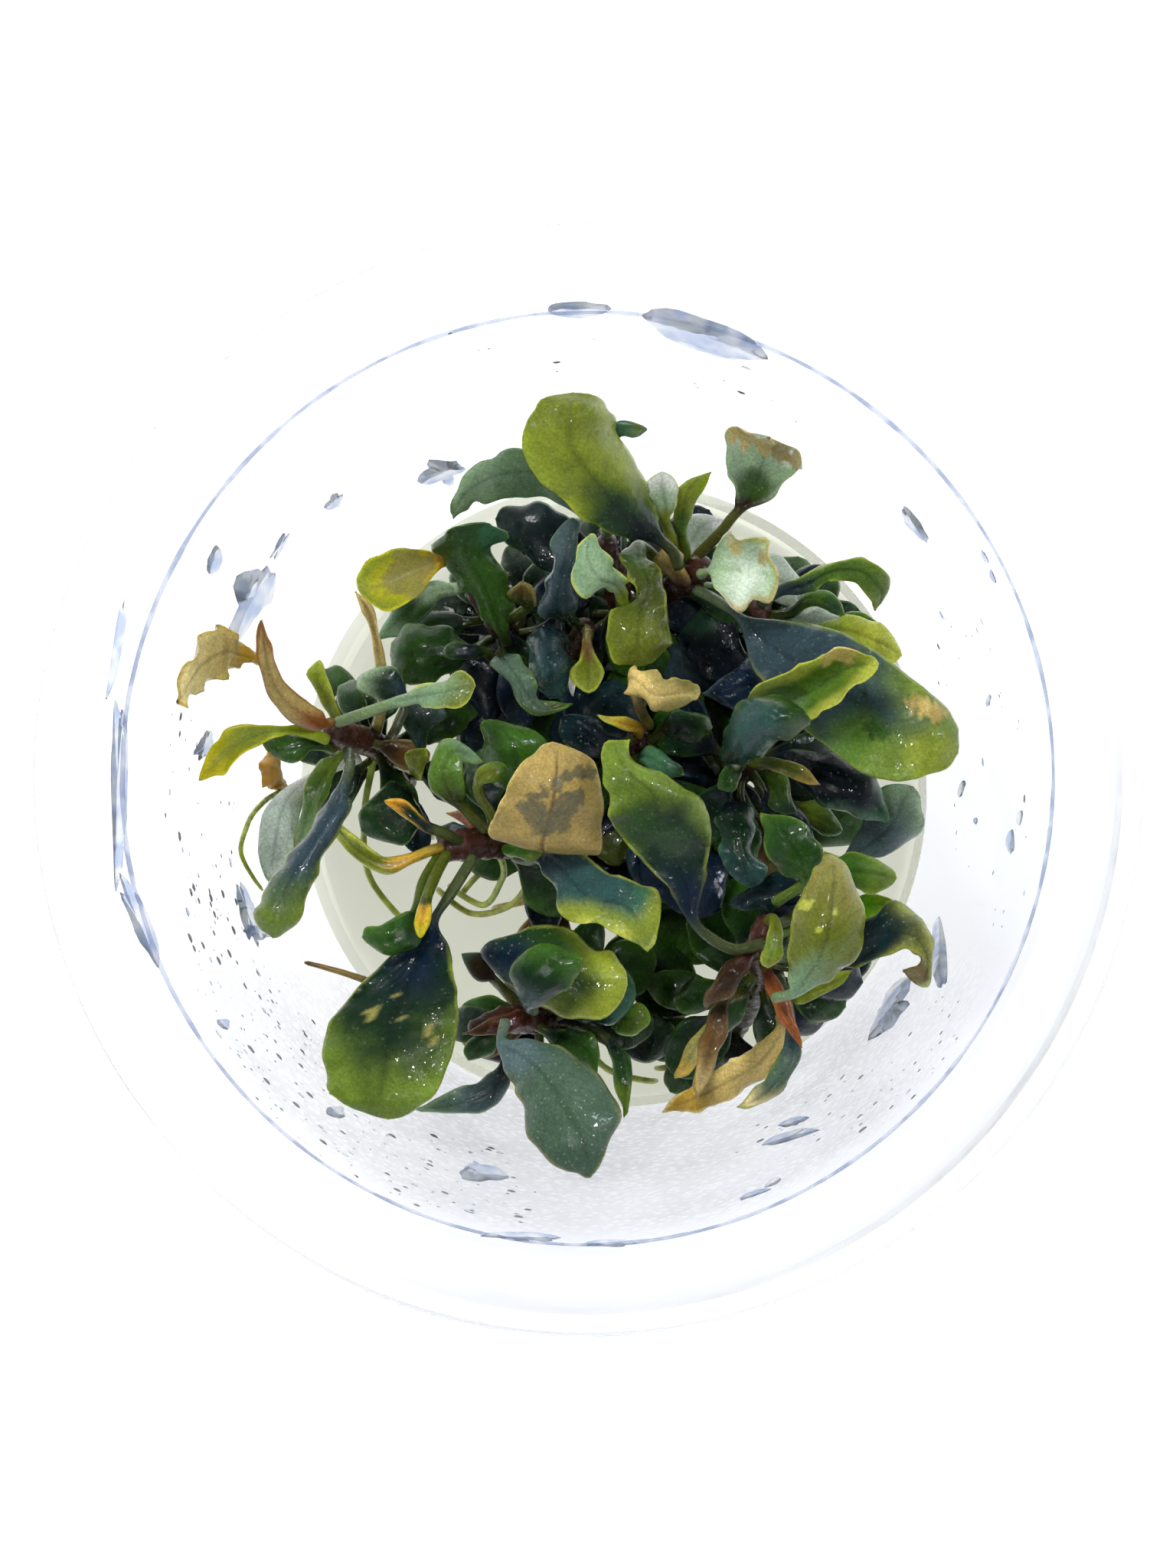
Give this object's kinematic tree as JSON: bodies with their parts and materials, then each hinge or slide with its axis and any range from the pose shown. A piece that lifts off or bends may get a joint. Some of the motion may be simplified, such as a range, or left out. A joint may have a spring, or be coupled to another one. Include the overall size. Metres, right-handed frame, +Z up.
{
  "type": "bucephalandra in a culture jar",
  "caption": "Bucephalandra plantlets with small wavy leaves, creeping rhizomes and roots on a bed of gel, inside a clear open tissue-culture jar with a flanged rim.",
  "frame": {"origin": "centre of the jar's flat foot, on the surface it stands on", "axes": "+Z up along the jar's axis, out of its open mouth; +X to the right and +Y to the top of the pictured view from above"},
  "size_m": [0.0994, 0.0994, 0.0644],
  "materials": {
    "jar": "clear",
    "gel": "translucent, wet",
    "rhizome": "satin",
    "green_leaf": "satin, wet in places",
    "navy_leaf": "glossy, wet",
    "lime_leaf": "satin, translucent",
    "olive_leaf": "satin",
    "grey_leaf": "satin",
    "tan_leaf": "satin, decayed"
  },
  "bodies": {
    "root": {"jar": "jar", "gel": "gel", "rhizome_left": "rhizome", "rhizome_left_centre": "rhizome", "rhizome_lower_left": "rhizome", "rhizome_top": "rhizome", "rhizome_lower_right": "rhizome", "rhizome_right": "rhizome", "rhizome_upper_left": "rhizome", "rhizome_back": "rhizome", "rhizome_centre": "rhizome", "rhizome_middle": "rhizome", "rhizome_upper_right": "rhizome", "crown_leaf": "green_leaf", "grey_leaf": "grey_leaf", "fan_leaf": "grey_leaf", "decayed_round_leaf": "lime_leaf", "right_curl_leaf": "olive_leaf", "upper_right_leaf": "lime_leaf", "big_right_leaf": "olive_leaf", "trough_leaf": "green_leaf", "drape_leaf": "green_leaf", "navy_left_point_leaf": "navy_leaf", "navy_right_leaf": "navy_leaf", "wall_grey_leaf": "grey_leaf", "green_oval_leaf": "green_leaf", "glossy_olive_leaf": "olive_leaf", "bright_right_leaf": "lime_leaf", "hook_leaf": "grey_leaf", "yellow_left_leaf": "lime_leaf", "olive_strap_leaf": "olive_leaf", "blue_strap_leaf": "navy_leaf", "light_square_leaf": "lime_leaf", "twisted_olive_leaf": "olive_leaf", "tan_broken_leaf": "tan_leaf", "rolled_dark_leaf": "navy_leaf", "curled_green_leaf": "green_leaf", "dark_slab_leaf": "green_leaf", "left_sheath_leaf": "tan_leaf", "far_left_leaf": "lime_leaf", "dark_glossy_left_leaf": "navy_leaf", "wing_leaf": "grey_leaf", "long_dark_leaf": "navy_leaf", "pale_wall_leaf": "grey_leaf", "c_curl_leaf": "green_leaf", "centre_leaf": "green_leaf", "tan_leaf": "tan_leaf", "yellow_edge_leaf": "green_leaf", "green_under_tan_leaf": "green_leaf", "teal_middle_leaf": "navy_leaf", "wavy_blue_leaf": "navy_leaf", "bottom_broad_leaf": "navy_leaf", "round_green_leaf": "green_leaf", "big_lower_left_leaf": "green_leaf", "bottom_grey_leaf": "grey_leaf", "folded_dark_leaf": "navy_leaf", "tan_strap_leaf": "tan_leaf", "dark_hook_leaf": "navy_leaf", "wall_decayed_leaf": "tan_leaf"}
  },
  "joints": []
}
